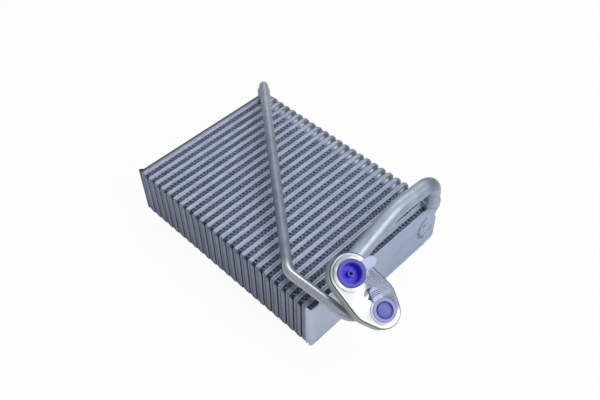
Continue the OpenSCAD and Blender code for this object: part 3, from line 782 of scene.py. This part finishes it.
# These bare colours also carry the painted highlight on the liquid pipe's front leg.
BARE_AND_HIGHLIGHT_COLOURS = ((0.42, 0.44, 0.47), (0.56, 0.57, 0.6))
# Painted shade for the suction pipe's elbow.
PAINTED_ELBOW_SHADE = (0.2, 0.24, 0.32)


def on_flange(x, y, z):
    """A point of the flange's own frame: X to the small port, Z out of its face."""
    return FLANGE_AT + FLANGE_POSE @ (Vector((x, y, z)) * MM)


def centre_line(points, bends):
    """Points along a path, with an arc of the given radius at each of its corners."""
    line = [points[0]]
    for corner, radius in zip(range(1, len(points) - 1), bends):
        before = (points[corner] - points[corner - 1]).normalized()
        after = (points[corner + 1] - points[corner]).normalized()
        turn = before.angle(after)
        reach = radius * MM * tan(turn / 2)
        axis = before.cross(after).normalized()
        hub = points[corner] - before * reach + axis.cross(before) * radius * MM
        spoke = points[corner] - before * reach - hub
        steps = max(2, round(turn / BEND_STEP))
        line += [hub + Matrix.Rotation(turn * k / steps, 3, axis) @ spoke for k in range(steps + 1)]
    line.append(points[-1])
    return line


def pipe_skin(line, od, fillet):
    """A round skin along a line. Above its foot it flares into the fillet of filler, which is
    given by its start, its height and its spread."""
    foot, height, spread = fillet
    rise = (line[1] - line[0]).normalized()
    flare = [line[0] + rise * (foot + height * k / FILLET_STEPS) * MM for k in range(FILLET_STEPS + 1)]
    line = [line[0], *flare, *line[1:]]
    rings = []
    across = rise.orthogonal().normalized()
    heading = rise
    for k, spot in enumerate(line):
        ahead = (line[k + 1] - spot).normalized() if k < len(line) - 1 else heading
        behind = (spot - line[k - 1]).normalized() if k else ahead
        tangent = (ahead + behind).normalized()
        across = (heading.rotation_difference(tangent) @ across).normalized()
        heading = tangent
        side = tangent.cross(across)
        radius = od / 2
        if 1 <= k <= len(flare):
            radius += spread * (1 - (k - 1) / FILLET_STEPS) ** 2
        rings.append([spot + (across * cos(2 * pi * j / PIPE_SIDES) + side * sin(2 * pi * j / PIPE_SIDES))
                      * radius * MM for j in range(PIPE_SIDES)])
    return skin(rings)


def pipe_material(name, colours, bare_end):
    """Drawn tube with long fine lines and small marks. With bare_end 0 it has painted shade at its
    elbow. With bare_end 1 it is rubbed bare toward the tank, and at the front bends it is glossier,
    with a painted highlight in its colour."""
    made, at = material(name)
    _, y, z = at.axes()
    # Glossier front leg of the liquid pipe, with a painted highlight in its colour.
    gloss_and_highlight = y.below(*FRONT_LEG_Y) * bare_end
    # Rubbed bare toward the tank, and the painted highlight on the front leg.
    rubbed_and_highlight = y.above(*RUBBED_Y) * 0.7 * bare_end + gloss_and_highlight
    # Painted shade at the suction pipe's elbow.
    elbow_shade = y.above(*ELBOW_SHADE_Y) * z.above(*ELBOW_SHADE_Z) * (1.0 - bare_end)
    cloud = at.noise(70.0, 4.0, 0.6)
    lines = at.stretch((0.003, 0.02, 0.003)).noise(1.0, 5.0, 0.7)
    marks = at.noise(420.0, 3.0, 0.7)
    tone = (cloud * 0.6 + lines * 0.4).above(0.3, 0.7)
    drawn = (elbow_shade * 0.75).mix(tone.mix(*colours), PAINTED_ELBOW_SHADE)
    uneven = (lines - 0.5) * 0.2 + (marks - 0.5) * 0.2
    return surface(made, Base_Color=rubbed_and_highlight.mix(drawn, tone.mix(*BARE_AND_HIGHLIGHT_COLOURS)),
                   Metallic=gloss_and_highlight * 0.5 + 0.75 - bare_end * 0.3,
                   Roughness=uneven * (1.0 - gloss_and_highlight * 0.7) + 0.5 - gloss_and_highlight * 0.24,
                   Coat_Weight=0.2, Coat_Roughness=0.1,
                   Normal=(lines * 0.5 + marks * 0.5).bump(0.00008, 0.5 - bare_end * 0.3))


suction_paint = pipe_material("pipe_aluminium", SUCTION_COLOURS, 0.0)
liquid_paint = pipe_material("liquid_pipe_aluminium", LIQUID_SHADE_COLOURS, 1.0)
suction_line = centre_line([
    core_point(SUCTION_X, TANK_Y, CORE_DEPTH + SUCTION_FLOOR),
    core_point(SUCTION_X, TANK_Y, CORE_DEPTH + SUCTION_RISE),
    core_point(SUCTION_X - SUCTION_SWAY, TANK_Y - SUCTION_SWAY_RUN, CORE_DEPTH + SUCTION_SWAY_RISE),
    on_flange(0, 0, -SUCTION_DROP), on_flange(0, 0, -SEAT_DROP)], SUCTION_BENDS)
liquid_line = centre_line([
    core_point(LIQUID_X, LIQUID_Y, CORE_DEPTH + LIQUID_FLOOR),
    core_point(LIQUID_X, LIQUID_Y, CORE_DEPTH + LIQUID_RISE),
    core_point(PLATE_FACE - CORNER_IN, CORNER_BACK, CORE_DEPTH + CORNER_RISE),
    core_point(PLATE_FACE + OUTER_OUT, OUTER_BACK, CORE_DEPTH + OUTER_RISE),
    on_flange(PORT_SPACING, 0, -LIQUID_DROP), on_flange(PORT_SPACING, 0, -SEAT_DROP)], LIQUID_BENDS)
dress(piece("bent_suction_pipe", [pipe_skin(suction_line, SUCTION_OD, SUCTION_FILLET)]),
      suction_paint, "pipe_aluminium", "suction_pipe")
dress(piece("bent_liquid_pipe", [pipe_skin(liquid_line, LIQUID_OD, LIQUID_FILLET)]),
      liquid_paint, "pipe_aluminium", "liquid_pipe")
for node in ("suction_connector", "liquid_connector"):
    dress(softened(node, node + "_body", CONNECTOR_BREAK), suction_paint, "pipe_aluminium", node)


# The flange: one milled aluminium block with a raised ring round each port and a bolt hole
# between them. Its face is bright from the cutter, with a painted reflection on it and painted
# shade on its large end and far half. Its sides keep the dull extruded skin.
FLANGE_BREAK = 0.35
# Where a look sets in, in metres from the large port and the face. Four numbers are a low and a
# high end, a rise and a fall.
BOLT_OFFSET = 0.025
BOLT_EDGE = (0.0052 ** 2, 0.0056 ** 2)
CUTTER_PITCH = 0.0009
TURNED_Z = (-0.0014, -0.0009)
FACE_Z = (-0.0005, -0.0002)
NICK_Z = (-0.0016, -0.0002, 0.0004, 0.0003)
CHAMFER_Z = (-0.0034, -0.0018, 0.0004, 0.0004)
END_SHADE_X = (-0.014, 0.0)
SHADED_FAR_Y = (-0.003, 0.005)
SHADED_FAR_X = (-0.004, 0.06, 0.016, 0.01)
SKIN_COLOURS = ((0.35, 0.39, 0.35), (0.51, 0.54, 0.51))
# Near white: the milled metal with a painted reflection. The grey end and the dark far half below are
# painted shade on the same face.
MILLED_AND_REFLECTION_COLOURS = ((0.93, 0.94, 0.93), (1.0, 1.0, 1.0))
END_SHADE_GREY = (0.4, 0.41, 0.46)
FAR_SHADE_COLOURS = ((0.11, 0.125, 0.165), (0.24, 0.265, 0.32))
CHAMFER_BRIGHT = (0.8, 0.82, 0.78)
NICK_DARK = (0.1, 0.11, 0.1)
# Painted shade for the bolt hole's wall.
BOLT_HOLE_SHADE = (0.08, 0.08, 0.085)


def flange_position(at, centre):
    """A position in the flange's own frame, from a point on its face."""
    return at.node("ShaderNodeMapping", {"vector_type": "TEXTURE"},
                   {"Vector": at, "Location": tuple(on_flange(centre, 0, 0)),
                    "Rotation": tuple(FLANGE_POSE.to_euler())}, out="Vector")


def flange_material():
    """A milled face, nearly white with a painted reflection, with painted shade in grey at its large end
    and in dark on its far half. Round it run a fine dark nick and a light chamfer. The sides are
    dull, and the bolt hole's wall has painted shade."""
    made, at = material("flange_aluminium")
    x, y, z = flange_position(at, 0).axes()
    turned = z.above(*TURNED_Z)
    cutter = (x.diagonal(y) * 2 * pi / CUTTER_PITCH).math("SINE")
    grain = at.noise(700.0, 4.0, 0.7)
    cloud = at.noise(110.0, 3.0)
    milled = grain.above(0.3, 0.7).mix(*MILLED_AND_REFLECTION_COLOURS)
    # Painted shade on the far half and the large end, and a painted reflection on the rest.
    shaded_far_half = y.above(*SHADED_FAR_Y) * x.within(*SHADED_FAR_X)
    face = shaded_far_half.mix(x.above(*END_SHADE_X).mix(END_SHADE_GREY, milled), grain.above(0.35, 0.65).mix(*FAR_SHADE_COLOURS))
    side = z.within(*CHAMFER_Z).mix(cloud.mix(*SKIN_COLOURS), CHAMFER_BRIGHT)
    side = z.within(*NICK_Z).mix(side, NICK_DARK)
    # Painted shade on the bolt hole's wall.
    from_bolt = (x - BOLT_OFFSET) * (x - BOLT_OFFSET) + y * y
    side = from_bolt.below(*BOLT_EDGE).mix(side, BOLT_HOLE_SHADE)
    return surface(made, Base_Color=z.above(*FACE_Z).mix(side, face), Metallic=0.6,
                   Roughness=(grain - 0.5) * 0.25 + 0.42 - turned * 0.06,
                   Normal=(cutter * turned * 0.25 + grain * 0.5).bump(0.00006, 0.7))


dress(softened("port_flange", "milled_port_flange", FLANGE_BREAK), flange_material(),
      "flange_aluminium", "port_flange")


# The two transport plugs: soft polyethylene, moulded in one piece with a pull tab each. The
# large one is a deep cup with a hollow nub on its floor, the small one a shallow dish with four
# ribs on its tab. A profile's numbers are radius and height over the flange's face.
PLUG_SIDES = 64
LARGE_CUP = ((0, -6.1), (11.1, -6.1), (11.4, -5.8), (11.4, 2.4), (13.1, 2.4), (13.5, 2.75), (13.5, 3.7),
             (13.3, 4.05), (12.9, 4.2), (10.2, 4.2), (9.7, 4.0), (9.4, 3.5), (9.1, -4.1), (8.8, -4.5),
             (3.6, -4.5), (3.25, -4.2), (3.1, 0.2), (2.95, 0.45), (2.7, 0.5), (1.9, 0.5), (1.7, 0.4),
             (1.6, 0.1), (1.5, -4.3), (1.2, -4.5), (0, -4.5))
SMALL_CUP = ((0, -6.1), (7.6, -6.1), (7.9, -5.8), (7.9, 2.4), (10.8, 2.4), (11.2, 2.75), (11.2, 3.5),
             (11.0, 3.85), (10.6, 4.0), (8.9, 4.0), (8.4, 3.85), (8.1, 3.4), (7.9, 1.6), (7.6, 1.4),
             (7.2, 1.4), (6.9, 1.6), (6.8, 2.4), (6.6, 2.75), (6.3, 2.85), (0, 2.95))
PLUG_SMOOTH = 30.0
PULL_WIDTH = 10.0
PULL_ROUND = 14
PULL_EDGE = ((0.0, 0.35), (0.12, 0.1), (0.4, 0.0))
LARGE_TURN = 79
SMALL_TURN = 168
SMALL_REACH = 23.0
RIB_COUNT = 4
RIB_WIDTH = 0.9
RIB_MARGIN = 1.0
RIB_HALF = PULL_WIDTH / 2 - RIB_MARGIN
RIB_FIRST = 3.2
RIB_LAYERS = ((3.6, 0.0), (4.1, 0.0), (4.3, 0.2))
RIB_PITCH = 2 * RIB_WIDTH * MM
RIB_END = (SMALL_REACH - RIB_FIRST + RIB_WIDTH) * MM
RIB_START = RIB_END - (RIB_COUNT - 0.5) * RIB_PITCH
RIB_SOFT = 0.0003
NUB_EDGE = (0.003, 0.0033)
TAB_BLEND = 0.001
NUB_DARK = (0.15, 0.13, 0.5)
PULL_COLOURS = ((0.6, 0.63, 0.92), (0.7, 0.73, 0.98))
# Painted shade for the grooves between the ribs.
RIB_GROOVE_SHADE = (0.16, 0.16, 0.3)


def lathe(profile, centre):
    """Points and faces of a turned skin; its profile is a closed run of radius and height."""
    points, faces, starts = [], [], []
    for radius, height in profile:
        starts.append(len(points))
        if radius > 0:
            points += [on_flange(centre + x, y, height)
                       for x, y in arc((0, 0), radius, 0, 2 * pi, PLUG_SIDES)[:-1]]
        else:
            points.append(on_flange(centre, 0, height))
    for k in range(len(profile) - 1):
        here, there = starts[k], starts[k + 1]
        for j in range(PLUG_SIDES):
            after = (j + 1) % PLUG_SIDES
            if profile[k][0] == 0:
                faces.append((here, there + j, there + after))
            elif profile[k + 1][0] == 0:
                faces.append((here + j, there, here + after))
            else:
                faces.append((here + j, there + j, there + after, here + after))
    return points, faces


def flat_skin(centre, turn, outline, layers):
    """A flat form beside a plug: an outline turned about the plug's middle and moved inward by
    each layer's amount at its height."""
    rings = []
    for height, shrink in layers:
        ring = []
        for spot in inset(outline, shrink):
            flat = Matrix.Rotation(radians(turn), 2) @ Vector(spot)
            ring.append(on_flange(centre + flat.x, flat.y, height))
        rings.append(ring)
    return skin(rings)


def pull_tab(centre, turn, inner, reach, low, high):
    """A flat pull tab with a round end and soft edges."""
    half = PULL_WIDTH / 2
    outline = [(inner, -half)] + arc((reach - half, 0), half, -pi / 2, pi / 2, PULL_ROUND) + [(inner, half)]
    layers = [(low + up, shrink) for up, shrink in PULL_EDGE]
    layers += [(high - up, shrink) for up, shrink in PULL_EDGE[::-1]]
    return flat_skin(centre, turn, outline, layers)


def plastic(name, centre, cup, rim, ring, tab_in, roughness, ribs, nub):
    """Soft plastic, satin, whose colour changes from the cup over the rim to the thin pale tab.
    ribs and nub, 0 or 1, put painted shade in the grooves between the ribs and paint the nub darker."""
    made, at = material(name)
    x, y, _ = flange_position(at, centre).axes()
    away = x.diagonal(y)
    swirl = at.noise(180.0, 3.0)
    # Painted shade in the grooves between the ribs.
    groove = ((away - RIB_START) * 2 * pi / RIB_PITCH).math("SINE").below(-0.6, 0.1)
    ribbed = away.within(RIB_START - RIB_SOFT, RIB_END + RIB_SOFT, RIB_SOFT, RIB_SOFT) * ribs
    tab = (ribbed * groove).mix(swirl.mix(*PULL_COLOURS), RIB_GROOVE_SHADE)
    hub = away.below(*NUB_EDGE) * nub
    inside = (hub * 0.8).mix(swirl.mix(*cup), NUB_DARK)
    plug = away.above(*ring).mix(inside, swirl.mix(*rim))
    return surface(made, Base_Color=away.above(tab_in, tab_in + TAB_BLEND).mix(plug, tab),
                   Roughness=(swirl - 0.5) * 0.15 + roughness,
                   Normal=at.noise(500.0, 2.0).bump(0.00005, 0.5),
                   Subsurface_Weight=0.15, Subsurface_Radius=(0.6, 0.6, 1.0), Subsurface_Scale=0.002,
                   Specular_IOR_Level=0.3)


large_paint = plastic("blue_plastic", 0, cup=((0.06, 0.04, 0.75), (0.09, 0.065, 0.9)),
                      rim=((0.1, 0.085, 0.46), (0.16, 0.14, 0.56)), ring=(0.0088, 0.0102),
                      tab_in=0.0134, roughness=0.4, ribs=0.0, nub=1.0)
small_paint = plastic("lavender_plastic", PORT_SPACING, cup=((0.145, 0.15, 0.5), (0.2, 0.205, 0.6)),
                      rim=((0.35, 0.36, 0.68), (0.45, 0.46, 0.78)), ring=(0.0077, 0.0084),
                      tab_in=0.011, roughness=0.35, ribs=1.0, nub=0.0)
large_shells = [lathe(LARGE_CUP, 0), pull_tab(0, LARGE_TURN, inner=12.5, reach=27.0, low=2.5, high=3.9)]
dress(piece("blue_port_plug", large_shells, PLUG_SMOOTH), large_paint, "blue_plastic", "large_port_plug")
small_shells = [lathe(SMALL_CUP, PORT_SPACING),
                pull_tab(PORT_SPACING, SMALL_TURN, inner=10.0, reach=SMALL_REACH, low=2.45, high=3.8)]
for k in range(RIB_COUNT):
    out = SMALL_REACH - RIB_FIRST - 2 * k * RIB_WIDTH
    spots = [(out, -RIB_HALF), (out + RIB_WIDTH, -RIB_HALF), (out + RIB_WIDTH, RIB_HALF), (out, RIB_HALF)]
    small_shells.append(flat_skin(PORT_SPACING, SMALL_TURN, spots, RIB_LAYERS))
dress(piece("lavender_port_plug", small_shells, PLUG_SMOOTH), small_paint,
      "lavender_plastic", "small_port_plug")
